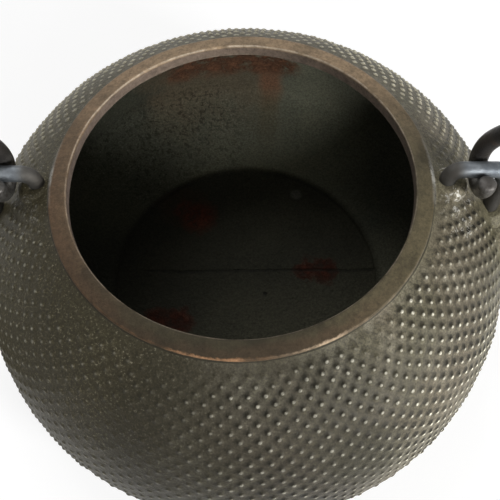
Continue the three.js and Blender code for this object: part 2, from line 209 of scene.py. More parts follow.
# the iron: its colours as on a screen, and where the rust and the wear lie
ironLook = {
    "brown": (96, 89, 74),
    "olive": (86, 82, 65),
    "pale": (126, 121, 105),
    # paler dot tops: wear, and a painted highlight
    "worn": (204, 200, 182),
    # painted sheen on the dot tops at the back
    "backTopSheen": (150, 145, 128),
    # the dark of the painted shade beside the dots and under the ring's edge, and of dirt
    "hollow": (30, 28, 21),
    "oldOlive": (52, 48, 33),
    "ringBrown": (96, 80, 62),
    "ringGrey": (86, 82, 62),
    "ringRed": (104, 81, 62),
    "ringBack": (106, 89, 71),
    "lipWall": (92, 82, 76),
    "ringPaleEdge": (168, 154, 136),
    "orange": (150, 114, 84),
    "cream": (178, 156, 130),
    "rustDark": (83, 47, 36),
    "rustBright": (112, 67, 50),
    "bandDark": (112, 82, 64),
    "bandBright": (150, 106, 80),
    "wallGreen": (120, 120, 102),
    "wallDark": (96, 98, 86),
    "floorGreen": (63, 62, 51),
    "floorDark": (49, 49, 41),
    "seamDark": (32, 32, 28),
    "insideBrown": (118, 104, 84),
    "haloBrown": (58, 47, 35),
    "runOlive": (112, 105, 82),
    "scale": (120, 120, 112),
    "bareSteel": (172, 170, 163),
    "floorSpots": [  # middle and radius of each blot of rust
        ((-19.2, 27.5, 5), 8.2),
        ((-24.5, 31.0, 5), 5.0),
        ((22.5, 3.4, 5), 5.0),
        ((29.5, 3.6, 5), 6.0),
        ((-24.8, -17.4, 5), 6.2),
        ((-32.5, -16.8, 5), 5.6),
    ],
    "halo": ((-25.5, 33.0, 5), 11.0),
    "scaleSpot": ((19.9, 37.5, 5), 2.8),
    "pit": ((7.1, -6.3, 5), 0.85),
    # middle and radius of the painted shade at the front
    "frontShadeSpot": ((3, -76, 48), 52.0),
    "seamAcross": 3.3,
    "seamEnds": (-38.0, 49.0),
    "bandTurns": (76.0, 112.0),
    "bandHeights": (27.0, 42.0),
    "stainTurns": (84.0, 118.0),
    "stainHeights": (12.0, 36.0),
    "runTurns": (80.0, 86.0),
    "pittedTurns": (90.0, 144.0),
    "pittedHeights": (4.0, 22.0),
    "patinaShadeTurn": -162.0,
    "outsideShine": {"Specular IOR Level": 0.22, "Specular Tint": (1.0, 0.93, 0.78, 1.0)},
    "insideShine": {"Specular IOR Level": 0.1},
}
castValues = ("inside", "ring", "dot", "hollow")  # carried by the body's points


def paint(name):
    return linear(ironLook[name])


def layered(colour, coats):
    # coats laid over a colour: the strength of each, where it lies and its paint
    for strength, where, coat in coats:
        coat = paint(coat) if isinstance(coat, str) else coat
        colour = tint(where * strength, colour, coat)
    return colour


class Surface:
    # the places, point values and noises that the body's colours are made of
    def __init__(self, place):
        self.place = place
        self.inside, self.ring, self.dot, self.hollow = [attribute(place, n) for n in castValues]
        self.x, self.y, self.z = [axis(place, number) for number in range(3)]
        self.radius = place.maths("POWER", self.x * self.x + self.y * self.y, 0.5)
        self.turn = place.maths("ARCTAN2", self.y, self.x) * (180 / math.pi)
        self.broad = noise(place, 34, 3)
        self.middle = noise(place, 9, 4, at=(40, 0, 0))
        self.fine = noise(place, 1.6, 4, 0.65, at=(0, 70, 0))
        self.grit = noise(place, 0.5, 3, 0.7, at=(0, 0, 30))
        self.speckle = noise(place, 0.75, 3, 0.75, at=(60, 0, 60))
        self.mottle = noise(place, 1.8, 4, 0.7, 0.3, at=(0, 0, 90))
        self.flakes = noise(place, 4.0, 5, 0.65, at=(15, 0, 15))
        self.grain = rise(self.speckle, 0.3, 0.7)


def outsideIron(s):
    # warm grey brown, darker between the dots with dirt and painted shade, paler where hands have
    # worn it, with painted highlights on the dots and an old olive patina, partly painted shade,
    # that is thickest at the front left
    # an olive patina, partly painted shade, darkest on the side turned away from the lamps
    way = math.radians(ironLook["patinaShadeTurn"])
    along = s.x * math.cos(way) + s.y * math.sin(way)
    facing = s.place.maths("DIVIDE", along, s.radius)
    patinaAndShade = rise(facing + (s.broad - 0.5) * 0.4, 0.1, 0.7)
    toBack = rise(s.y, 0, 36)
    # painted shade between the dots at the back
    shadeBetweenDotsBehind = toBack * fall(s.dot, 0.02, 0.2) * 0.6
    byRightEar = rise(s.x, 48, 58) * fall(abs(s.y), 24, 40)
    # paler dot tops: wear by hands, and a painted highlight on the side of each dot towards the key
    # lamp
    worn = rise(s.dot, 0.3, 0.85) * (0.6 + 0.4 * rise(s.middle, 0.35, 0.65)) * (1 - s.hollow)
    worn = worn * (1 - 0.6 * toBack) * (1 - 0.6 * byRightEar)
    colour = tint(rise(s.broad, 0.38, 0.64), paint("olive"), paint("brown"))
    colour = layered(colour, [
        (0.55, rise(s.middle, 0.45, 0.75), "pale"),
        # painted shade and dirt round the dots, and painted shade between them at the back
        (1.0, largest(s.hollow * 0.94, shadeBetweenDotsBehind), "hollow"),
        (0.9, patinaAndShade, "oldOlive"),
        (0.7, patinaAndShade * rise(s.speckle, 0.58, 0.72), "pale"),
        # painted sheen on the dot tops at the back
        (0.7, toBack * rise(s.dot, 0.02, 0.2), "backTopSheen"),
        (1.0, worn * (1 - 0.6 * patinaAndShade), "worn"),
    ])
    # painted shade at the front, painted light low at the right, along the left edge and towards
    # the back
    frontShade = spot(s.place, *ironLook["frontShadeSpot"], (s.broad - 0.5) * 16)
    paintedSideLight = 0.6 * fall(s.z, 32, 64) * rise(s.x, 14, 50) + 0.5 * fall(s.x, -72, -46)
    speckled = 0.52 + 0.96 * s.grain
    backLight = 0.92 + 0.65 * rise(s.y, 5, 55)
    return shade(colour, speckled, backLight, (1 - 0.56 * frontShade) * (1.04 + paintedSideLight))


def ringIron(s):
    # olive grey within and brown without, redder at the left, rust on its outer edge
    acrossRing = rise(s.radius + (noise(s.place, 7, 4) - 0.5) * 6, 52.2, 54.2)
    twoTone = 0.3 + 0.65 * acrossRing * fall(s.x, 20, 48) * fall(s.y, -12, 24)
    colour = layered(tint(twoTone, paint("ringGrey"), paint("ringBrown")), [
        (0.7, fall(s.x, -50, -18), "ringRed"),
        (0.8, rise(s.y, 0, 40), "ringBack"),
        (0.4, rise(s.middle, 0.5, 0.7), "hollow"),
    ])
    # painted shade at the ring's front, painted light towards its back and at its right front
    keyLitRingSide = rise(s.x, 8, 36) * fall(s.y, -24, 0)
    paintedRingLight = 0.3 + 0.5 * rise(s.y, -52, -5) + 1.3 * rise(s.y, 0, 50) + 0.28 * keyLitRingSide
    colour = shade(colour, paintedRingLight, 1 - 0.14 * rise(s.x, 34, 48))
    lipWall = fall(s.radius, 50.6, 50.9) * fall(s.z, 72.4, 73.0)
    # a pale line on the ring's rounded inner edge, stronger towards the back
    paleInnerEdge = band(s.radius, 50.6, 50.95, 0.12) * rise(s.z, 72.7, 73.1)
    paleInnerEdge = paleInnerEdge * rise(noise(s.place, 5, 4), 0.3, 0.55)
    jagged = (noise(s.place, 3.2, 5, 0.7, at=(9, 9, 9)) - 0.5) * 2.4
    outerEdge = rise(s.radius + jagged * fall(s.y, -30, -10), 55.4, 55.9)
    strongRust = 0.14 + 0.66 * band(s.x, -19, 1, 2.5) + 0.5 * band(s.x, 15, 27, 2)
    edgeRust = outerEdge * fall(s.y, -46, -16) * strongRust
    patchy = rise(noise(s.place, 5, 5, 0.6, at=(9, 9, 9)), 0.4, 0.52)
    edgeRust = edgeRust * (0.25 + 0.75 * patchy)
    colour = layered(colour, [
        (0.8, lipWall, "lipWall"),
        (1.0, paleInnerEdge * (0.35 + 0.5 * rise(s.y, -10, 30)), "ringPaleEdge"),
        (1.0, edgeRust, tint(rise(s.x, 6, 14), paint("orange"), paint("cream"))),
    ])
    grime = rise(noise(s.place, 2.4, 4, 0.7, at=(6, 2, 4)), 0.36, 0.62)
    return shade(colour, 0.64 + 0.4 * s.grain + 0.34 * grime), edgeRust


def bareMetal(s):
    # scratches by the ears, and the ring's edge worn bright by the bail
    sideways = abs(s.x)
    nearEar = rise(sideways, 56, 60) * band(s.y, -17, 9, 3) * fall(sideways, 66, 72)
    nearEar = nearEar * (0.4 + 0.6 * rise(s.x, 0, 1))
    lines = fall(abs(noise(s.place, 4.4, 3, 0.6, 0.8, at=(3, 0, 8)) - 0.5), 0.006, 0.024)
    scratches = lines * rise(noise(s.place, 3, 4, at=(8, 0, 3)), 0.5, 0.58) * nearEar
    rimWay = band(s.y, -9, 13, 2) * 0.25 + band(s.y, -2.5, 4, 1.5) * 0.6
    rimEdge = band(s.radius, 55.3, 56.6, 0.3) * rise(sideways, 40, 50) * rimWay
    return largest(scratches, rimEdge * rise(s.speckle, 0.3, 0.5))


def cavityIron(s):
    # dull dark green grey, with a rust band under the lip at the back and a run below it
    look = ironLook
    mixed = 0.3 * rise(s.mottle, 0.3, 0.7) + 0.7 * rise(s.broad, 0.3, 0.7)
    wall = tint(mixed, paint("wallDark"), paint("wallGreen"))
    floor = tint(mixed, paint("floorDark"), paint("floorGreen"))
    # painted light on the back wall, painted shade on the left and right walls
    wallLight = 0.5 + 0.9 * rise(s.y, 5, 62) * fall(s.x, 25, 60)
    wall = shade(wall, wallLight * (0.5 + 0.5 * rise(s.x, -44, -6)))
    # painted shade on the floor, darker to the left and the back
    floor = shade(floor, 0.55 + 0.35 * rise(s.x, -36, 0) + 0.3 * fall(s.y, -40, 5))
    onFloor = fall(s.radius, 48.0, 51.5) * fall(s.z, 7, 9)
    wander = (s.middle - 0.5) * 10
    height, turn = s.z + wander, s.turn + wander
    rustBand = band(height, *look["bandHeights"], 3) * band(turn, *look["bandTurns"], 3)
    rustBand = rustBand * s.inside
    turn = s.turn + wander * 2
    stain = band(height, *look["stainHeights"], 6) * band(turn, *look["stainTurns"], 6)
    run = band(s.turn + wander * 0.4, *look["runTurns"], 1.6) * fall(s.z, 30, 40)
    run = run * rise(s.z, 5, 14) * (0.5 + 0.5 * s.flakes)
    colour = layered(tint(onFloor, wall, floor), [
        (0.7, stain, "insideBrown"),
        (1.0, run, tint(rise(s.z, 11, 19), paint("runOlive"), paint("bandBright"))),
        (1.0, rustBand * rise(s.flakes, 0.3, 0.5), "bandDark"),
        (0.8, rustBand * rise(s.flakes, 0.46, 0.7), "bandBright"),
    ])

    # rust blots, a pale scale spot, one pit and the core's seam on the floor, pitting behind
    ragged = (s.flakes - 0.5) * 14
    blots = largest(*[spot(s.place, *blot, ragged) for blot in look["floorSpots"]]) * onFloor
    halo = spot(s.place, *look["halo"], ragged) * (1 - blots)
    scale = spot(s.place, *look["scaleSpot"], ragged * 0.1)
    pit = spot(s.place, *look["pit"], ragged * 0.1)
    seamWay = abs(s.y - look["seamAcross"] + (s.middle - 0.5) * 2.0)
    seam = fall(seamWay, 0.25, 0.8) * band(s.x, *look["seamEnds"], 2) * onFloor
    pitted = band(s.turn, *look["pittedTurns"], 10) * band(s.z, *look["pittedHeights"], 7)
    pitted = pitted * (1 - onFloor)
    colour = layered(colour, [
        (1.0, blots * (0.35 + 0.6 * rise(s.flakes, 0.36, 0.56)), "rustDark"),
        (0.6, blots * rise(s.flakes, 0.5, 0.7), "rustBright"),
    ])
    # the rust blots painted darker towards the front: painted shade against the light there
    colour = layered(shade(colour, 1 - 0.48 * blots * fall(s.y, 5, 25)), [
        (0.5, halo, "haloBrown"),
        (0.36, scale, "scale"),
        (0.55, seam, "seamDark"),
        (1.0, pit, "seamDark"),
        (0.25, pitted * rise(s.speckle, 0.6, 0.72), "bareSteel"),
    ])
    pitShade = 1.08 - 0.55 * rise(s.mottle, 0.5, 0.6) * pitted
    rust = (rustBand + blots) * rise(s.flakes, 0.4, 0.55)
    relief = rust * s.flakes - seam * 0.8 - pit
    return shade(colour, pitShade, 0.7 + 0.6 * s.grain), rust, relief


def bodyIron():
    material, shader, place = newMaterial("bodyIron")
    s = Surface(place)
    skin = s.fine * 0.6 + s.grit * 0.4
    ringColour, edgeRust = ringIron(s)
    scratches = bareMetal(s)
    # painted shadow under the ring's outer edge at the front
    ringFootShadow = band(s.ring, 0.12, 0.7, 0.12) * fall(s.y, -5, 25)
    colour = layered(outsideIron(s), [
        (1.0, rise(s.ring, 0.6, 0.9), ringColour),
        (0.8, ringFootShadow, "hollow"),
        (0.85, scratches, "bareSteel"),
    ])
    rust = edgeRust * s.ring
    roughness = 0.47 + 0.16 * (s.fine - 0.5) + 0.06 * s.ring + 0.25 * rust - 0.1 * scratches
    bumps = [(skin, 0.3), (rust * s.flakes, 0.4)]
    finish(shader, colour, roughness, 0.2 * scratches, bumps, ironLook["outsideShine"])

    colour, rust, relief = cavityIron(s)
    roughness = 0.66 + 0.2 * (s.fine - 0.5) + 0.15 * rust
    bumps = [(skin, 0.4), (s.mottle, 1.1), (relief, 0.5)]
    cavity = secondSkin(material, shader, s.inside)
    finish(cavity, colour, roughness, 0.0, bumps, ironLook["insideShine"])
    return material


# the other finishes, from a darker colour to a lighter one
earLook = {"dark": (88, 93, 98), "light": (124, 129, 133), "dirt": (62, 57, 49)}
bailLook = {"dark": (40, 38, 36), "light": (58, 54, 50), "rust": (74, 58, 46)}
bailLook["worn"] = (118, 116, 112)
knobLook = {"dark": (64, 59, 52), "light": (84, 77, 68)}
pinLook = {"dark": (96, 94, 90), "light": (128, 126, 120)}


def clouded(look, clouds, low=0.35, high=0.65):
    return tint(rise(clouds, low, high), linear(look["dark"]), linear(look["light"]))


def earSteel():
    material, shader, place = newMaterial("earSteel")
    x, z = axis(place, 0), axis(place, 2)
    clouds = noise(place, 5, 4)
    fine = noise(place, 0.8, 4, 0.7)
    dirt = largest(fall(z + clouds * 3, 70, 75), fall(abs(x) - clouds * 3, 60, 64.5))
    colour = tint(dirt * 0.85, clouded(earLook, clouds), linear(earLook["dirt"]))
    roughness = 0.34 + 0.2 * fine + 0.2 * dirt
    colour = shade(colour, 0.85 + 0.3 * fine)
    finish(shader, colour, roughness, 0.85, [(fine, 0.1), (clouds, 0.3)])
    return material


def bailIron():
    material, shader, place = newMaterial("bailIron")
    worn = attribute(place, "worn")
    clouds = noise(place, 12, 4)
    fine = noise(place, 0.9, 4, 0.7)
    rust = rise(noise(place, 8, 5, at=(5, 5, 5)), 0.58, 0.7)
    colour = tint(rust * 0.6, clouded(bailLook, clouds), linear(bailLook["rust"]))
    colour = tint(worn * rise(fine, 0.3, 0.6), colour, linear(bailLook["worn"]))
    roughness = 0.46 + 0.22 * (fine - 0.5) + 0.15 * rust - 0.12 * worn
    finish(shader, colour, roughness, 0.35 + 0.5 * worn, [(fine, 0.16), (clouds, 0.5)])
    return material


def lidIron(name, look, dull):
    material, shader, place = newMaterial(name)
    broad = noise(place, 22, 3)
    fine = noise(place, 1.3, 4, 0.65)
    grit = noise(place, 0.5, 3, 0.7, at=(0, 0, 30))
    rust = rise(noise(place, 6, 5, 0.6, at=(4, 4, 4)), 0.62, 0.72)
    colour = tint(rust * 0.5, clouded(look, broad, 0.36, 0.64), paint("ringRed"))
    colour = shade(colour, 0.82 + 0.36 * fine)
    roughness = dull + 0.18 * (fine - 0.5) + 0.2 * rust
    finish(shader, colour, roughness, 0.35, [(fine * 0.6 + grit * 0.4, 0.25), (broad, 0.6)])
    return material


def pinSteel():
    material, shader, place = newMaterial("pinSteel")
    fine = noise(place, 0.7, 4, 0.7)
    colour = clouded(pinLook, noise(place, 3, 3))
    finish(shader, colour, 0.4 + 0.2 * fine, 0.8, [(fine, 0.12)])
    return material


materials = {
    "body_iron": bodyIron(),
    "ear_steel": earSteel(),
    "bail_iron": bailIron(),
    "lid_iron": lidIron("lidIron", {"dark": ironLook["olive"], "light": ironLook["brown"]}, 0.5),
    "knob_iron": lidIron("knobIron", knobLook, 0.44),
    "pin_steel": pinSteel(),
}
print("materials made:", len(materials))


# meshes from points in millimetres
def makePiece(name, points, faces, values=None):
    mesh = bpy.data.meshes.new(name)
    mesh.from_pydata((np.asarray(points, float) * mm).tolist(), [], faces)
    mesh.validate()
    for key, numbers in (values or {}).items():
        layer = mesh.attributes.new(key, "FLOAT", "POINT")
        layer.data.foreach_set("value", np.asarray(numbers, np.float32))
    piece = bpy.data.objects.new(name, mesh)
    scene.collection.objects.link(piece)
    return piece


def join(piece, other, operation):
    # a solid join or cut, applied at once
    modifier = piece.modifiers.new("cut", "BOOLEAN")
    modifier.operation = operation
    modifier.solver = "MANIFOLD"
    modifier.object = other
    bpy.context.view_layer.objects.active = piece
    bpy.ops.object.modifier_apply(modifier="cut")
    bpy.data.objects.remove(other)


def dress(piece, angle, body, node, slotName):
    # smooth where faces meet below an angle, with its material, body, node and slot
    piece.data.shade_smooth()
    piece.data.set_sharp_from_angle(angle=math.radians(angle))
    piece.data.materials.clear()
    piece.data.materials.append(materials[slotName])
    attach(piece, body)
    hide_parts(node)


def unit(vectors):
    return vectors / np.linalg.norm(vectors, axis=-1)[..., None]


def unevenness(points, size, seed, waves=14):
    # a smooth random field of about unit height over points, made of plane waves
    draw = np.random.default_rng(seed)
    ways = unit(draw.normal(size=(waves, 3)))
    phases = draw.uniform(0, fullTurn, waves)
    return np.sin(points @ ways.T * (fullTurn / size) + phases).sum(1) / math.sqrt(waves / 2)


def castWave(points, coarse, fine, seed):
    # the long and short waves of a cast skin
    return 0.7 * unevenness(points, coarse, seed) + 0.4 * unevenness(points, fine, seed + 1)


def smoothRise(value, low, high):
    share = np.clip((value - low) / (high - low), 0, 1)
    return share * share * (3 - 2 * share)


def turnsRound(count):
    return np.linspace(0, fullTurn, count, endpoint=False)


def arc(centre, radius, first, last, steps):
    turns = np.radians(np.linspace(first, last, steps + 1))
    return [(centre[0] + radius * math.cos(t), centre[1] + radius * math.sin(t)) for t in turns]


def wayAlong(path):
    return np.concatenate([[0], np.cumsum(np.linalg.norm(np.diff(path, axis=0), axis=1))])


def bezier(corners, steps):
    # points at even steps along a cubic curve
    a, b, c, d = [np.asarray(p, float) for p in corners]
    t = np.linspace(0, 1, 400)[:, None]
    curve = (1 - t) ** 3 * a + 3 * t * (1 - t) ** 2 * b + 3 * t * t * (1 - t) * c + t ** 3 * d
    way = wayAlong(curve)
    wanted = np.linspace(0, way[-1], steps + 1)
    return np.stack([np.interp(wanted, way, curve[:, i]) for i in range(3)], 1)


# faces between closed loops of points, given by their numbers
def pairs(loop):
    return list(zip(loop, loop[1:] + loop[:1]))


def walls(loops, turned=False):
    faces = []
    for upper, lower in zip(loops, loops[1:]):
        for (a, b), (c, d) in zip(pairs(upper), pairs(lower)):
            faces.append([a, b, d, c] if turned else [a, c, d, b])
    return faces


def fan(centre, loop, turned=False):
    return [[centre, b, a] if turned else [centre, a, b] for a, b in pairs(loop)]


def tube(rings, ends, turned):
    # a closed skin along rings of points, with a fan on a point at each end
    count, sides = len(rings), len(rings[0])
    loops = [list(range(i * sides, (i + 1) * sides)) for i in range(count)]
    first = count * sides
    caps = fan(first, loops[0], turned) + fan(first + 1, loops[-1], not turned)
    return np.concatenate([*rings, np.array(ends)]), walls(loops, turned) + caps


def revolve(profile, columns):
    # a closed solid from [radius, height] pairs that run anticlockwise, on the axis at both
    # ends or closed on themselves
    points, loops = [], []
    for radius, height in profile:
        first = len(points)
        if radius < 1e-6:
            loops.append([first] * columns)
            points.append((0, 0, height))
        else:
            loops.append(list(range(first, first + columns)))
            ring = [(radius * math.cos(t), radius * math.sin(t)) for t in turnsRound(columns)]
            points += [(x, y, height) for x, y in ring]
    if profile[0][0] > 1e-6:
        loops.append(loops[0])
    return np.array(points), [list(dict.fromkeys(face)) for face in walls(loops, True)]


def fuller(wave, fullness):
    return np.sign(wave) * np.abs(wave) ** (2 / fullness)


def sweep(path, normal, sides, sectionAt):
    # a closed skin round a path: sectionAt gives half width, half thickness and fullness
    turns, rings = turnsRound(sides), []
    for i, (centre, tangent) in enumerate(zip(path, unit(np.gradient(path, axis=0)))):
        normal = unit(normal - tangent * np.dot(normal, tangent))
        width, thickness, fullness = sectionAt(i)
        across = width * fuller(np.cos(turns), fullness)
        through = thickness * fuller(np.sin(turns), fullness)
        side = np.cross(tangent, normal)
        rings.append(centre + across[:, None] * normal + through[:, None] * side)
    return tube(rings, [path[0], path[-1]], True)


# body casting
body = {
    "mouthHeight": 72.5,
    "mouthRadius": 50.6,
    "ringWidth": 5.4,
    "ringRise": 0.9,
    "ringStep": 1.2,
    "ringEdge": 0.55,  # rounding of the ring's two edges
    "ringFoot": ((0.03, 0.25, 0.8), (0.35, -0.1, 0.3)),  # out, up and share of the ring's colour
    "lipDepth": 4.4,
    "lipUnder": ((2.6, -0.9, 0), (0.7, -0.25, 0.4), (0, 0.4, 0.9)),  # the same
    "bellyRadius": 87.0,
    "bellyHeight": 16.5,
    "shoulderFullness": 2.5,
    "baseRadius": 52.0,
    "baseCircles": ((52.9, 0.16), (51.4, 0), (30, 0), (12, 0)),
    "bottomFullness": 1.6,
    "wall": 4.0,
    "floorHeight": 5.0,
    "floorRadius": 48.2,
    "floorStep": 1.5,
    "columns": 180,
    "insideCircles": (16, 14, 30, 4),  # floor, up to the belly, up to the ring, lip
    "footCircles": 18,
    "castOutside": 0.10,  # unevenness of the casting
    "castInside": 0.30,
}

# arare dots, in staggered rows
dots = {
    "perRow": 90,
    "rows": 30,
    "firstRow": 4.2,  # from the ring along the shoulder
    "rowStep": 2.5,
    "radius": (0.74, 0.84),  # by the ring and at the belly
    "rise": (0.66, 0.4),  # the same
    "over": (66, 50),  # ways from the ring over which radius and rise change
    "backRise": 0.8,  # as a share, at the back
    "shaded": (-0.7, 0.7),  # the side away from the key lamp, where the painted shade lies
    "between": 0.4,  # painted shade and dirt midway between the dots
    "variation": 0.14,
    "scatter": (0.07, 0.08),  # along the shoulder and round the axis
    "domeWidths": (1.65, 1.0, 0.68, 0.32),  # as shares of the radius, the soft foot first
    "domeHeights": (0.0, 0.26, 0.66, 0.93),
    "sides": 8,
    "filedRows": 3,  # partly filed away by the ring
    "wornPatches": [((-30, -69, 54), 13.0, 0.72), ((-50, -52, 56), 22.0, 0.35)],
}
cells = 4 * dots["perRow"]  # quarter steps of the dots round the axis
mouthRadius, mouthHeight = body["mouthRadius"], body["mouthHeight"]
bellyRadius, bellyHeight = body["bellyRadius"], body["bellyHeight"]
ringRadius = mouthRadius + body["ringWidth"]
mouthTop = mouthHeight + body["ringRise"]
shoulderTop = mouthHeight - body["ringStep"]


def crownRise(widest, endRadius, endHeight):
    # how far over the belly the shoulder's curve would meet the axis
    power = body["shoulderFullness"]
    return (endHeight - bellyHeight) / (1 - (endRadius / widest) ** power) ** (1 / power)


def shoulderLine(widest, endRadius, endHeight, steps):
    # from the mouth down to the belly
    power = body["shoulderFullness"]
    turns = np.linspace(math.acos((endRadius / widest) ** (power / 2)), 0, steps + 1)
    radii = widest * np.cos(turns) ** (2 / power)
    rises = crownRise(widest, endRadius, endHeight) * np.sin(turns) ** (2 / power)
    return np.stack([radii, bellyHeight + rises], 1)


def bottomLine(foot, widest, low, steps):
    # from the belly in to the foot
    power = body["bottomFullness"]
    turns = np.linspace(0, math.pi / 2, steps + 1)
    radii = foot + (widest - foot) * np.cos(turns) ** (2 / power)
    heights = bellyHeight - (bellyHeight - low) * np.sin(turns) ** (2 / power)
    return np.stack([radii, heights], 1)


# the outside's line, in steps so close that it reads as a curve
shoulderCurve = shoulderLine(bellyRadius, ringRadius, shoulderTop, 900)
bottomCurve = bottomLine(body["baseRadius"], bellyRadius, 0, 500)
outerLine = np.concatenate([shoulderCurve, bottomCurve[1:]])
outerWay = wayAlong(outerLine)
outerTangent = unit(np.gradient(outerLine, axis=0))


def onBody(turn, way, lift=0.0):
    # a point on the outside: turn round the axis, way down from the ring, lift off the iron
    radius, height = [np.interp(way, outerWay, outerLine[:, i]) for i in (0, 1)]
    alongR, alongZ = [np.interp(way, outerWay, outerTangent[:, i]) for i in (0, 1)]
    out = radius - alongZ * lift
    return np.stack([out * np.cos(turn), out * np.sin(turn), height + alongR * lift], -1)


def shoulderHeight(radius):
    return outerLine[np.searchsorted(shoulderCurve[:-1, 0], radius), 1]


# spout
spout = {
    "rootHeight": 33.0,
    "rootHalfWidth": 17.0,
    "rootHalfHeight": 13.5,
    "rootInset": 20.0,  # the middle line starts this far inside the belly
    "rootDrop": 4.0,
    "reach": 28.4,
    "tipRise": 2.5,
    "tipRadius": 7.6,
    "lip": 0.4,  # height of the level lip's rounding
    "wall": 2.8,
    "slope": 52.0,
    "taper": 1.6,
    "leanFrom": 0.55,  # as a share of its length, from where its rings lean over
    "flare": 3.2,  # the soft blend into the belly
    "flareReach": 4.0,
    "unevenness": 0.06,
    "steps": 44,
    "sides": 48,
}

# ears and the feet that carry them
ear = {
    "rodRadius": 2.4,
    "barRise": 2.5,
    "fromRing": 4.5,
    "span": 16.3,
    "bend": 3.8,
    "footDepth": 2.4,
    "bossWidth": 1.9,
    "bossRise": 1.4,
    "bossColumns": 36,
    "bossUnevenness": 0.12,
    "bare": 9.5,  # radius round a foot beyond which the dots are whole
    "seat": 0.08,  # between a rod and its socket
    "sides": 24,
    "unevenness": 0.015,
}
rodRadius = ear["rodRadius"]
innerFoot = ringRadius + ear["fromRing"]
outerFoot = innerFoot + ear["span"]
earFeet = (innerFoot, outerFoot)
barHeight = mouthHeight + ear["barRise"]


def dotFade(points):
    # how much of its height a dot keeps: worn in front at the left, none by ears and spout
    x, y, z = np.moveaxis(points, -1, 0)
    keep = np.ones(x.shape)
    for (px, py, pz), size, amount in dots["wornPatches"]:
        square = (x - px) ** 2 + (y - py) ** 2 + (z - pz) ** 2
        keep *= 1 - amount * np.exp(-square / (2 * size ** 2))
    for side in (-1, 1):
        for foot in earFeet:
            away = np.hypot(x - side * foot, y)
            near = smoothRise(away, rodRadius + ear["bossWidth"] + 1.0, ear["bare"])
            keep *= np.where(z > bellyHeight, near, 1)
        strip = np.exp(-(((x - side * (ringRadius + 4)) / 7) ** 2 + (y / 9) ** 2))
        keep *= np.where(z > bellyHeight, 1 - 0.6 * strip, 1)
    across = y / (spout["rootHalfWidth"] + spout["flare"])
    up = (z - spout["rootHeight"]) / (spout["rootHalfHeight"] + spout["flare"])
    return keep * np.where(x > 0, smoothRise(np.hypot(across, up), 0.95, 1.25), 1)


class Casting:
    # gathers the body's points, faces and the values that its material reads
    def __init__(self):
        self.points, self.faces = [], []
        self.values = {name: [] for name in castValues}

    def add(self, points, **given):
        points = np.asarray(points, float).reshape(-1, 3)
        first = len(self.points)
        self.points.extend(points)
        for name, store in self.values.items():
            store.extend(np.broadcast_to(given.get(name, 0.0), len(points)).tolist())
        return list(range(first, first + len(points)))

    def circle(self, radius, height, **given):
        turns = turnsRound(body["columns"])
        row = np.stack([radius * np.cos(turns), radius * np.sin(turns), turns * 0 + height], 1)
        return self.add(row, **given)

    def bodyCircle(self, way):
        turns = turnsRound(body["columns"])
        return self.add(onBody(turns, np.full(len(turns), way)))


def innerProfile():
    # from the floor's edge up to the ring's inner edge, each with its share of the ring
    widest = bellyRadius - body["wall"]
    floor, floorRadius = body["floorHeight"], body["floorRadius"]
    low, foot = floor + body["floorStep"], floorRadius + body["floorStep"] / 3
    onFloor, toBelly, toRing, onLip = body["insideCircles"]
    lower = bottomLine(foot, widest, low, toBelly)[::-1]
    upper = shoulderLine(widest, ringRadius, shoulderTop - body["wall"], toRing)[::-1]
    lipLow = mouthTop - body["lipDepth"]
    rows = [(r, floor, 0) for r in np.linspace(6, floorRadius - 0.4, onFloor)]
    rows += [(floorRadius, floor + 0.12, 0), (foot - 0.15, low - 0.5, 0)]
    rows += [(r, z, 0) for r, z in [*lower, *upper[1:]]]
    rows += [(mouthRadius + out, lipLow + up, ring) for out, up, ring in body["lipUnder"]]
    lipWall = np.linspace(lipLow + 1.4, mouthTop - body["ringEdge"], onLip)
    return rows + [(mouthRadius, z, 1) for z in lipWall]


def ringProfile():
    # over the mouth ring from its inner edge to where it meets the shoulder
    edge = body["ringEdge"]
    slope = math.degrees(math.atan2(body["ringRise"], body["ringWidth"]))
    inner = arc((mouthRadius + edge, mouthTop - edge), edge, 180, 90 - slope, 4)[1:]
    outer = arc((ringRadius - edge, mouthHeight - edge), edge, 90 - slope, 0, 4)
    (r0, z0), (r1, z1) = inner[-1], outer[0]
    top = [(r0 + (r1 - r0) * t, z0 + (z1 - z0) * t) for t in (0.2, 0.4, 0.6, 0.8)]
    foot = [(ringRadius + out, shoulderTop + up, ring) for out, up, ring in body["ringFoot"]]
    return [(r, z, 1.0) for r, z in inner + top + outer] + foot


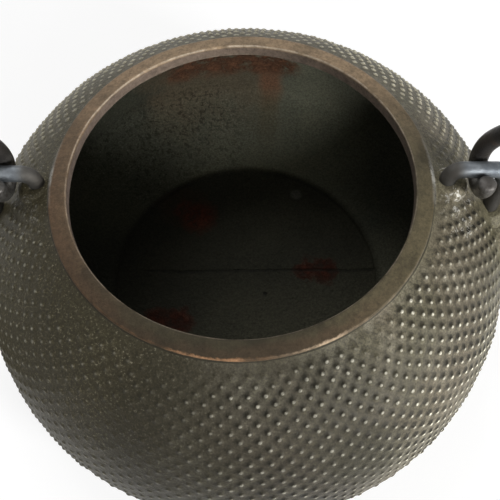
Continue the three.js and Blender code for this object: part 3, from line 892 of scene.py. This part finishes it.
def dotField(cast):
    # a diamond cell round each dot of the staggered rows, neighbours sharing their edge points;
    # v counts sixths of a row's step down, u quarters of a dot's step round
    draw = np.random.default_rng(11)
    rows, perRow = dots["rows"], dots["perRow"]
    corners = [(6, 0), (3, 1), (0, 2), (-3, 1), (-6, 0), (-3, -1), (0, -2), (3, -1)]
    around = turnsRound(dots["sides"])
    shared = {}

    def wayAt(v):
        return dots["firstRow"] + dots["rowStep"] * v / 6

    def edgePoint(v, u):
        key = (v, u % cells)
        if key not in shared:
            place = onBody(key[1] * fullTurn / cells, wayAt(v))
            # painted shade and dirt between the dots
            shared[key] = cast.add(place, hollow=dots["between"] * dotFade(place))[0]
        return shared[key]

    for row in range(rows):
        rowWay = wayAt(6 * row)
        turns = (np.arange(perRow) * 4 + 2 * (row % 2)) * (fullTurn / cells)
        radius = np.interp(rowWay, outerWay, outerLine[:, 0])
        ways = rowWay + draw.normal(0, dots["scatter"][0], perRow)
        shift = draw.normal(0, dots["scatter"][1], perRow) / radius
        spread = draw.normal(size=(2, perRow)).clip(-2, 2) * dots["variation"]
        size = np.interp(rowWay, (0, dots["over"][0]), dots["radius"]) * (1 + 0.4 * spread[0])
        lift = np.interp(rowWay, (0, dots["over"][1]), dots["rise"]) * (1 + spread[1])
        places = onBody(turns, ways)
        lift *= 1 - (1 - dots["backRise"]) * smoothRise(places[:, 1], -10, 50)
        keep = dotFade(places) * np.clip(1 + 0.12 * unevenness(places, 30, 5), 0.6, 1.15)
        if row < dots["filedRows"]:
            keep *= np.clip(0.55 + 0.18 * row + 0.3 * unevenness(places, 26, 8), 0.05, 1)
        for i in range(perRow):
            outer = [edgePoint(6 * row + v, 4 * i + 2 * (row % 2) + u) for v, u in corners]
            dotWay, dotTurn = ways[i], turns[i] + shift[i]
            # painted shade on each dot's side away from the key lamp, over dirt round its foot
            facing = turns[i] + around
            lee = dots["shaded"][0] * np.cos(facing) + dots["shaded"][1] * np.sin(facing)
            dirt = keep[i] * np.clip(0.42 + 0.8 * lee, 0, 1)
            for share, height in zip(dots["domeWidths"], dots["domeHeights"]):
                away, level = size[i] * share, height * keep[i]
                turn = dotTurn + away * np.sin(around) / radius
                place = onBody(turn, dotWay + away * np.cos(around), level * lift[i])
                inner = cast.add(place, dot=level, hollow=dirt * (height < 0.9))
                cast.faces += walls([inner, outer])
                outer = inner
            top = cast.add(onBody(dotTurn, dotWay, lift[i] * keep[i]), dot=keep[i])[0]
            cast.faces += fan(top, outer)
    return shared, wayAt(-9), wayAt(6 * rows + 3)


def stitch(cast, circle, shared, above):
    # joins a plain circle to the dot field's zigzag edge
    lastRow = 6 * (dots["rows"] - 1)
    chain = {}
    for (v, u), index in shared.items():
        if (v <= 0) if above else (v >= lastRow):
            if u not in chain or (v < chain[u][0]) == above:
                chain[u] = (v, index)
    for i, u in enumerate(range(0, cells, 2)):
        zigzag = [chain[(u + k) % cells][1] for k in range(3)]
        ends = [circle[i], circle[(i + 1) % len(circle)]]
        if above:
            cast.faces.append([ends[0], *zigzag, ends[1]])
        else:
            cast.faces.append([zigzag[0], *ends, *zigzag[:0:-1]])


def buildBody():
    cast = Casting()
    floorCentre = cast.add([(0, 0, body["floorHeight"])], inside=1)[0]
    circles = [cast.circle(r, z, ring=ring, inside=1 - ring) for r, z, ring in innerProfile()]
    circles += [cast.circle(r, z, ring=ring) for r, z, ring in ringProfile()]
    cast.faces += fan(floorCentre, circles[0]) + walls(circles)
    shared, firstWay, lastWay = dotField(cast)
    topCircle = cast.bodyCircle(firstWay)
    cast.faces += walls([circles[-1], topCircle])
    stitch(cast, topCircle, shared, True)
    footWays = np.linspace(lastWay, outerWay[-1], body["footCircles"])[:-1]
    circles = [cast.bodyCircle(way) for way in footWays]
    stitch(cast, circles[0], shared, False)
    circles += [cast.circle(radius, height) for radius, height in body["baseCircles"]]
    baseCentre = cast.add([(0, 0, 0)])[0]
    cast.faces += walls(circles) + fan(baseCentre, circles[-1], True)
    inside, ring = np.array(cast.values["inside"]), np.array(cast.values["ring"])
    points = castUneven(np.array(cast.points), inside, ring)
    return makePiece("kettleBody", points, cast.faces, cast.values)


def castUneven(points, inside, ring):
    # the skin of a sand casting, and a mouth ring filed by hand
    flat = points * (1, 1, 0)
    flat /= np.maximum(np.linalg.norm(flat, axis=1), 1e-6)[:, None]
    up = np.array([0, 0, 1.0])
    wave = castWave(points, 17, 8, 21)
    still = smoothRise(points[:, 2], 0.3, 4.0)
    outward = body["castOutside"] * wave * still * (1 - inside) * (1 - ring)
    points = points + flat * outward[:, None]
    wall = smoothRise(points[:, 2], 5.5, 9)
    inward = body["castInside"] * wave * inside
    points = points + flat * (inward * wall)[:, None] + up * (0.5 * inward * (1 - wall))[:, None]
    filed = ring * (0.07 * unevenness(points, 22, 23) + 0.03 * unevenness(points, 7, 24))
    oval = ring * 0.05 * unevenness(points, 30, 25)
    return points + up * filed[:, None] + flat * oval[:, None]


def spoutPath():
    low = spout["rootHeight"] - spout["rootDrop"]
    root = np.array([bellyRadius - spout["rootInset"], 0, low])
    tip = np.array([bellyRadius + spout["reach"], 0, mouthHeight + spout["tipRise"]])
    slope = math.radians(spout["slope"])
    along = np.array([math.cos(slope), 0, math.sin(slope)])
    length = np.linalg.norm(tip - root)
    fromRoot = root + (length / 3, 0, length / 10)
    return bezier((root, fromRoot, tip - along * length / 3, tip), spout["steps"])


def flareOut(points, centre):
    # the spout widens softly where it leaves the belly
    radius = np.hypot(points[:, 0], points[:, 1])
    height = np.maximum(points[:, 2] - bellyHeight, 0)
    power = body["shoulderFullness"]
    crown = crownRise(bellyRadius, ringRadius, shoulderTop)
    level = ((radius / bellyRadius) ** power + (height / crown) ** power) ** (1 / power)
    away = np.maximum((level - 1) * bellyRadius, 0)
    return unit(points - centre) * (spout["flare"] * np.exp(-away / spout["flareReach"]))[:, None]


def spoutShell(name, inset, isBore):
    # the rings lean over until the last one, at the lip, is level
    path, tip, lip = spoutPath(), spout["tipRadius"], spout["lip"]
    rings = []
    for i, (centre, tangent) in enumerate(zip(path, unit(np.gradient(path, axis=0)))):
        share = i / spout["steps"]
        taper = (1 - share) ** spout["taper"]
        width = tip + (spout["rootHalfWidth"] - tip) * taper - inset
        height = tip + (spout["rootHalfHeight"] - tip) * taper - inset
        lean = smoothRise(share, spout["leanFrom"], 1.0) * tangent[0] / tangent[2]
        down = np.array([tangent[2], 0, -tangent[0]]) + tangent * lean
        rings.append((centre, np.array([0, 1.0, 0]) * width, down * height))
    centre, across, down = rings.pop()
    # heights over the tip and widths there: a flared bore, or a rounded lip
    flared = 1 + lip / tip
    ends = [(0, flared), (3, flared)] if isBore else [(-lip * 0.3, 0.985), (0, 0.945)]
    for up, wide in [(-lip, 1), *ends]:
        rings.append((centre + (0, 0, up), across * wide, down * wide))
    turns = turnsRound(spout["sides"])
    loops = []
    for centre, across, down in rings:
        loop = centre + np.cos(turns)[:, None] * across + np.sin(turns)[:, None] * down
        loops.append(loop if isBore else loop + flareOut(loop, centre))
    points, faces = tube(loops, [rings[0][0], rings[-1][0]], False)
    if not isBore:
        points[:, :2] += spout["unevenness"] * unevenness(points, 9, 31)[:, None]
    return makePiece(name, points, faces, {"inside": [float(isBore)] * len(points)})


def boss(x, surface):
    # a low mound of iron round an ear's foot, from its skirt up
    radius, top = rodRadius + ear["bossWidth"], ear["bossRise"]
    skirt = [(2.2, -2.0), (1.7, -0.6), (0.75, 0.15)]
    crown = [(0.3, top * 0.6), (0, top * 0.85), (-0.35, top)]
    profile = [(radius + out, surface + up) for out, up in skirt + crown]
    points, faces = revolve([(0, profile[0][1]), *profile, (0, profile[-1][1])], ear["bossColumns"])
    points += (x, 0, 0)
    points[:, 2] += ear["bossUnevenness"] * unevenness(points, 6, 41)
    return makePiece("boss", points, faces)


def socket(x, surface):
    radius = rodRadius + ear["seat"]
    low, high = surface - ear["footDepth"], mouthTop + 4
    points, faces = revolve([(0, low), (radius, low), (radius, high), (0, high)], ear["sides"])
    return makePiece("socket", points + (x, 0, 0), faces)


kettleBody = buildBody()
print("body points:", len(kettleBody.data.vertices))
join(kettleBody, spoutShell("spoutOutside", 0, False), "UNION")
feet = [(side * foot, shoulderHeight(foot)) for side in (-1, 1) for foot in earFeet]
for foot in feet:
    join(kettleBody, boss(*foot), "UNION")
join(kettleBody, spoutShell("spoutBore", spout["wall"], True), "DIFFERENCE")
for foot in feet:
    join(kettleBody, socket(*foot), "DIFFERENCE")
dress(kettleBody, 38, "kettle", "kettle_body", "body_iron")
print("body joined and cut:", len(kettleBody.data.vertices), "points")


# ears
def earPath():
    bend, top = ear["bend"], barHeight - ear["bend"]
    lows = [shoulderHeight(foot) - ear["footDepth"] + 0.1 for foot in earFeet]
    path = [(innerFoot, z) for z in np.linspace(lows[0], top, 6)[:-1]]
    path += arc((innerFoot + bend, top), bend, 180, 90, 10)
    path += [(x, barHeight) for x in np.linspace(innerFoot + bend, outerFoot - bend, 9)[1:-1]]
    path += arc((outerFoot - bend, top), bend, 90, 0, 10)
    path += [(outerFoot, z) for z in np.linspace(top, lows[1], 12)[1:]]
    return np.array([(x, 0, z) for x, z in path])


def makeEar(side, name, node):
    section = (rodRadius, rodRadius, 2)
    points, faces = sweep(earPath() * (side, 1, 1), (0, 1, 0), ear["sides"], lambda i: section)
    sideways = ear["unevenness"] * unevenness(points, 7, 51 + side)
    points[:, 1] += points[:, 1] * sideways
    if side < 0:
        faces = [face[::-1] for face in faces]
    dress(makePiece(name, points, faces), 50, "kettle", node, "ear_steel")


makeEar(-1, "earStapleLeft", "ear_staple_left")
makeEar(1, "earStapleRight", "ear_staple_right")
print("ears made")


# bail
bail = {
    "rodRadius": 2.7,
    "play": 0.5,
    "fromFoot": 9.1,
    "tipHeights": (0.25, 0.7, 1.25, 1.65, 1.95, 2.2),  # over the hinge axis
    "tipWidths": (0.96, 0.86, 0.66, 0.3),  # of the last four, which close the tip
    "height": 108.0,
    "spread": 17.0,
    "legHeight": 24.0,
    "legLean": 24.0,
    "grip": (4.6, 3.2, 2.6),  # half width, half thickness and fullness
    "archSteps": 90,
    "legSteps": 26,
    "hookSteps": 26,
    "sides": 28,
    "hammering": 0.035,  # as a share of the bar's half width
    "gripWear": 0.35,
    "hookWear": 0.85,
}


def bailHalf():
    # from the crown to the open end of the hook, from the hinge axis
    lean = math.radians(bail["legLean"])
    hookX = innerFoot + bail["fromFoot"]
    hookRadius = rodRadius + bail["play"] + bail["rodRadius"]
    leg, crown = bail["legHeight"], bail["height"]
    legTop = np.array([hookX + leg * math.tan(lean) * 0.75, 0, leg])
    legWay = np.array([math.sin(lean), 0, math.cos(lean)])
    haunch = legTop + legWay * leg * 2
    haunch[0] += (hookX + bail["spread"] - legTop[0]) * 0.35
    hookTop = np.array([hookX, hookRadius, 0])
    arch = bezier(((0, 0, crown), (hookX * 0.95, 0, crown), haunch, legTop), bail["archSteps"])
    lower = (legTop, legTop - legWay * leg * 0.4, hookTop + (0, 0, leg * 0.45), hookTop)
    lower = bezier(lower, bail["legSteps"])[1:]
    turns = np.linspace(0, math.pi, bail["hookSteps"] + 1)[1:]
    hook = [(hookX, hookRadius * math.cos(t), -hookRadius * math.sin(t)) for t in turns]
    tip = [(hookX, -hookRadius, z) for z in bail["tipHeights"]]
    return np.concatenate([arch, lower, hook, tip])


def makeBail():
    half = bailHalf()
    count = len(half)
    rod = (bail["rodRadius"], bail["rodRadius"], 2)
    closing = np.ones(count)
    closing[-len(bail["tipWidths"]):] = bail["tipWidths"]

    def section(i):
        i = abs(i - count + 1)
        share = float(smoothRise(i, bail["archSteps"] / 3, bail["archSteps"]))
        width, thickness, fullness = [a + (b - a) * share for a, b in zip(bail["grip"], rod)]
        return width * closing[i], thickness * closing[i], fullness

    path = np.concatenate([(half * (-1, 1, 1))[:0:-1], half])
    points, faces = sweep(path, (0, 1, 0), bail["sides"], section)
    nearest = np.concatenate([np.repeat(path, bail["sides"], axis=0), path[[0, -1]]])
    hammered = 0.6 * unevenness(points, 16, 61) + 0.4 * unevenness(points, 7, 62)
    upper = smoothRise(points[:, 2], 8, 26)
    depth = bail["hammering"] * hammered * (0.25 + 0.75 * upper)
    points = points + (points - nearest) * depth[:, None]
    grip = smoothRise(points[:, 2], 96, 106) * bail["gripWear"]
    rubbed = (1 - smoothRise(points[:, 2], -1.5, 3.5)) * bail["hookWear"]
    worn = {"worn": np.maximum(grip, rubbed)}
    piece = makePiece("bailBar", points + (0, 0, barHeight), faces, worn)
    dress(piece, 60, "bail", "bail", "bail_iron")


makeBail()
print("bail made")


# lid, standing on its flange
lid = {
    "overlap": 3.4,
    "play": 0.8,
    "flangeHeight": 4.2,
    "flangeWall": 2.6,
    "edge": 2.6,
    "rounding": 0.5,
    "topRounding": 0.9,
    "thickness": 3.0,
    "rise": 4.2,
    "padRadius": 13.0,
    "gap": 10.4,
    "forward": 30.0,
    "bead": 0.35,  # height of the cast line near the edge
    "unevenness": 0.09,
    "columns": 144,
}
washer = {"radius": 10.5, "thickness": 1.4, "petals": 16, "petalDepth": 0.5, "groove": 0.3}
knob = {"height": 18.0, "radius": 9.0, "footRadius": 5.6, "neckRadius": 4.2, "columns": 80}
knob.update({"creases": 5, "creaseDepth": 0.55})
pin = {"radius": 2.0, "depth": 8.0, "headRadius": 4.6, "headHeight": 1.4, "columns": 40}
pin["seat"] = 0.1  # between the pin and its holes

lidRadius = mouthRadius + lid["overlap"]
flangeRadius = mouthRadius - lid["play"]
padTop = lid["flangeHeight"] + lid["edge"] + lid["rise"]
padUnder = padTop - lid["thickness"]
pinHole = pin["radius"] + pin["seat"]
knobFoot = padTop + washer["thickness"]
lidCentre = np.array([-(bellyRadius + lid["gap"] + lidRadius), -lid["forward"], 0])


def domeHeight(radius, top):
    share = max(radius - lid["padRadius"], 0) / (lidRadius - lid["padRadius"])
    bead = lid["bead"] if top == padTop else 0
    bead *= math.exp(-(((radius - lidRadius + 6) / 0.9) ** 2))
    return top - lid["rise"] * share * share + bead


def makeLidPlate():
    inner, flange, corner = flangeRadius - lid["flangeWall"], lid["flangeHeight"], lid["rounding"]
    under = [(r, domeHeight(r, padUnder)) for r in np.linspace(lid["padRadius"], inner - 0.8, 16)]
    rim = (lidRadius - lid["topRounding"], domeHeight(lidRadius, padTop) - lid["topRounding"])
    points, faces = revolve([
        (pinHole, padUnder), (7.0, padUnder), *under,
        (inner - 0.1, domeHeight(inner, padUnder) - 0.7), (inner, 2.2),
        *arc((inner + corner, corner), corner, 180, 270, 3),
        *arc((flangeRadius - corner, corner), corner, 270, 360, 3),
        (flangeRadius, flange - 0.5), (flangeRadius + 0.4, flange - 0.05),
        (lidRadius - corner, flange),
        *arc((lidRadius - corner, flange + corner), corner, 270, 360, 3)[1:],
        *arc(rim, lid["topRounding"], 0, 75, 4),
        *[(r, domeHeight(r, padTop)) for r in np.linspace(lidRadius - 1.6, lid["padRadius"], 44)],
        (washer["radius"] + 1, padTop), (pinHole, padTop),
    ], lid["columns"])
    wave = castWave(points, 15, 7, 71)
    radius = np.hypot(points[:, 0], points[:, 1])
    free = smoothRise(radius, washer["radius"] + 1, washer["radius"] + 5)
    points[:, 2] += lid["unevenness"] * wave * (free * smoothRise(points[:, 2], 0.6, 3))
    dress(makePiece("lidPlate", points + lidCentre, faces), 40, "lid", "lid_plate", "lid_iron")


def drawIn(points, away, depth):
    # moves points towards the axis
    points[:, :2] *= (1 - depth / np.maximum(away, 1e-6))[:, None]


def roundAxis(points, count):
    # distance from the axis, and a wave with so many crests round it
    turn = np.arctan2(points[:, 1], points[:, 0])
    return np.hypot(points[:, 0], points[:, 1]), np.abs(np.cos(turn * count / 2))


def makeWasher():
    # a low washer with a petalled edge
    bevel, radius = washer["thickness"] / 2, washer["radius"]
    profile = [(pinHole, padTop), (radius - 0.2, padTop), (radius, padTop + 0.25)]
    profile += arc((radius - bevel, padTop + bevel), bevel, 0, 90, 5)
    low = knobFoot - 0.12
    profile += [(radius - 2.2, knobFoot), (radius - 3.6, low), (pinHole, low)]
    points, faces = revolve(profile, washer["petals"] * 9)
    away, petal = roundAxis(points, washer["petals"])
    atEdge = smoothRise(away, radius - 4.5, radius - 0.5)
    drawIn(points, away, washer["petalDepth"] * (1 - petal) * atEdge)
    groove = washer["groove"] * (1 - petal) ** 2 * smoothRise(away, radius - 5.5, radius - 3)
    points[:, 2] -= groove * (points[:, 2] > padTop + bevel)
    piece = makePiece("knobWasher", points + lidCentre, faces)
    dress(piece, 50, "lid", "knob_washer", "knob_iron")


def makeKnob():
    # a bud on a waisted foot, with shallow creases from its tip
    foot, neck, base = knobFoot, knob["neckRadius"], knob["footRadius"]
    budLow, budRise = foot + knob["height"] * 0.24, knob["height"] * 0.76
    holeTop = foot + pin["depth"] + pin["seat"]
    profile = [(pinHole, 0), (base - 0.2, 0), (base, 0.25), (base - 0.1, 0.65)]
    profile += [(neck + 0.5, 1.7), (neck + 0.05, 3.0)]
    profile = [(radius, foot + up) for radius, up in profile]
    for share in np.linspace(0.06, 0.97, 26):
        radius = knob["radius"] * math.sin(math.pi * share ** 0.8) ** 0.75
        profile.append((max(radius, neck * (1 - share)), budLow + budRise * share))
    profile += [(0.9, foot + knob["height"] - 0.08), (0, foot + knob["height"])]
    profile += [(0, holeTop), (pinHole, holeTop), (pinHole, foot)]
    points, faces = revolve(profile, knob["columns"])
    away, ridge = roundAxis(points, knob["creases"])
    height = (points[:, 2] - budLow) / budRise
    crease = knob["creaseDepth"] * (1 - ridge ** 0.5) * smoothRise(height, 0.12, 0.6)
    drawIn(points, away, crease * smoothRise(away, pinHole + 1, 5))
    dress(makePiece("lidKnob", points + lidCentre, faces), 60, "lid", "lid_knob", "knob_iron")


def makePin():
    radius, head, top = pin["radius"], pin["headRadius"], knobFoot + pin["depth"]
    dome = [(0, 0), (0.45, 0.08), (0.75, 0.35), (0.94, 0.8)]
    profile = [(head * wide, padUnder - pin["headHeight"] + up) for wide, up in dome]
    profile += [(head, padUnder - 0.15), (head - 0.1, padUnder), (radius, padUnder)]
    profile += [(radius, top - 0.3), (radius - 0.3, top), (0, top)]
    points, faces = revolve(profile, pin["columns"])
    points[:, 2] += 0.05 * unevenness(points, 3, 81) * (points[:, 2] < padUnder - 0.3)
    dress(makePiece("knobPin", points + lidCentre, faces), 45, "lid", "knob_pin", "pin_steel")


makeLidPlate()
makeWasher()
makeKnob()
makePin()
print("lid made")


# floor and light
stage = {
    "floorSize": 6.0,
    "floorColour": (0.7, 0.7, 0.7, 1.0),  # as it lights the object
    "seenFloorColour": (0.3, 0.3, 0.3, 1.0),
    "floorGlow": 0.8,
    "skyLight": 0.12,
    "aim": (0, 0, 0.04),
    "lamps": [
        {"name": "keyLamp", "from": (0.77, -0.6, 0.29), "size": 0.2, "power": 10.6},
        {"name": "frontLamp", "from": (0.17, -0.84, 0.46), "size": 0.3, "power": 1.5},
        {"name": "backLamp", "from": (-0.2, 0.5, 0.9), "size": 0.6, "power": 4.4},
    ],
    "beam": {  # a narrow one on the back of the cavity
        "name": "mouthLamp",
        "from": (0.05, -0.34, 0.255),
        "aim": (-0.006, 0.072, 0.03),
        "size": 0.03,
        "power": 1.65,
        "cone": 27.0,
        "softness": 0.9,
    },
}
white = (1, 1, 1, 1)


def seenRays(wire):
    # 1 for what the camera, a reflection or glass sees, 0 for light that falls on the object
    rays = ("Is Camera Ray", "Is Glossy Ray", "Is Transmission Ray")
    return largest(*[wire.node("LightPath", {}, {}, ray) for ray in rays])


def newTree(owner, output, unused):
    # a wire to start from and the tree's output, without the shader that it comes with
    owner.use_nodes = True
    owner.node_tree.nodes.remove(nodeOf(owner, unused))
    return Wire(owner.node_tree), nodeOf(owner, output)


def makeFloor():
    half = stage["floorSize"] / 2
    corners = [(-half, -half, 0), (half, -half, 0), (half, half, 0), (-half, half, 0)]
    mesh = bpy.data.meshes.new("floor")
    mesh.from_pydata(corners, [], [(0, 1, 2, 3)])
    floor = bpy.data.objects.new("floor", mesh)
    scene.collection.objects.link(floor)
    material = bpy.data.materials.new("paleFloor")
    wires, output = newTree(material, "OUTPUT_MATERIAL", "BSDF_PRINCIPLED")
    paper = wires.node("BsdfDiffuse", {}, {"Color": stage["floorColour"]})
    seenPaper = wires.node("BsdfDiffuse", {}, {"Color": stage["seenFloorColour"]})
    glow = wires.node("Emission", {}, {"Color": white, "Strength": stage["floorGlow"]})
    bright = wires.node("AddShader", {}, {0: seenPaper, 1: glow})
    mixed = wires.node("MixShader", {}, {0: seenRays(wires), 1: paper, 2: bright})
    feed(output, {"Surface": mixed})
    mesh.materials.append(material)


def makeWorld():
    scene.world = bpy.data.worlds.new("studio")
    wires, output = newTree(scene.world, "OUTPUT_WORLD", "BACKGROUND")
    dim = wires.node("Background", {}, {"Color": white, "Strength": stage["skyLight"]})
    bright = wires.node("Background", {}, {"Color": white, "Strength": 1.0})
    mixed = wires.node("MixShader", {}, {0: seenRays(wires), 1: dim, 2: bright})
    feed(output, {"Surface": mixed})


def makeLamp(lamp, kind):
    data = bpy.data.lights.new(lamp["name"], kind)
    data.energy = lamp["power"]
    if kind == "SPOT":
        data.shadow_soft_size = lamp["size"]
        data.spot_size = math.radians(lamp["cone"])
        data.spot_blend = lamp["softness"]
    else:
        data.shape = "SQUARE"
        data.size = lamp["size"]
    piece = bpy.data.objects.new(lamp["name"], data)
    piece.location = lamp["from"]
    backward = unit(np.array(lamp["from"]) - lamp.get("aim", stage["aim"]))
    piece.rotation_euler = (math.acos(backward[2]), 0, math.atan2(backward[0], -backward[1]))
    piece.visible_camera = False
    scene.collection.objects.link(piece)


makeFloor()
makeWorld()
for lamp in stage["lamps"]:
    makeLamp(lamp, "AREA")
makeLamp(stage["beam"], "SPOT")
scene.view_settings.view_transform = "Standard"
print("stage set")
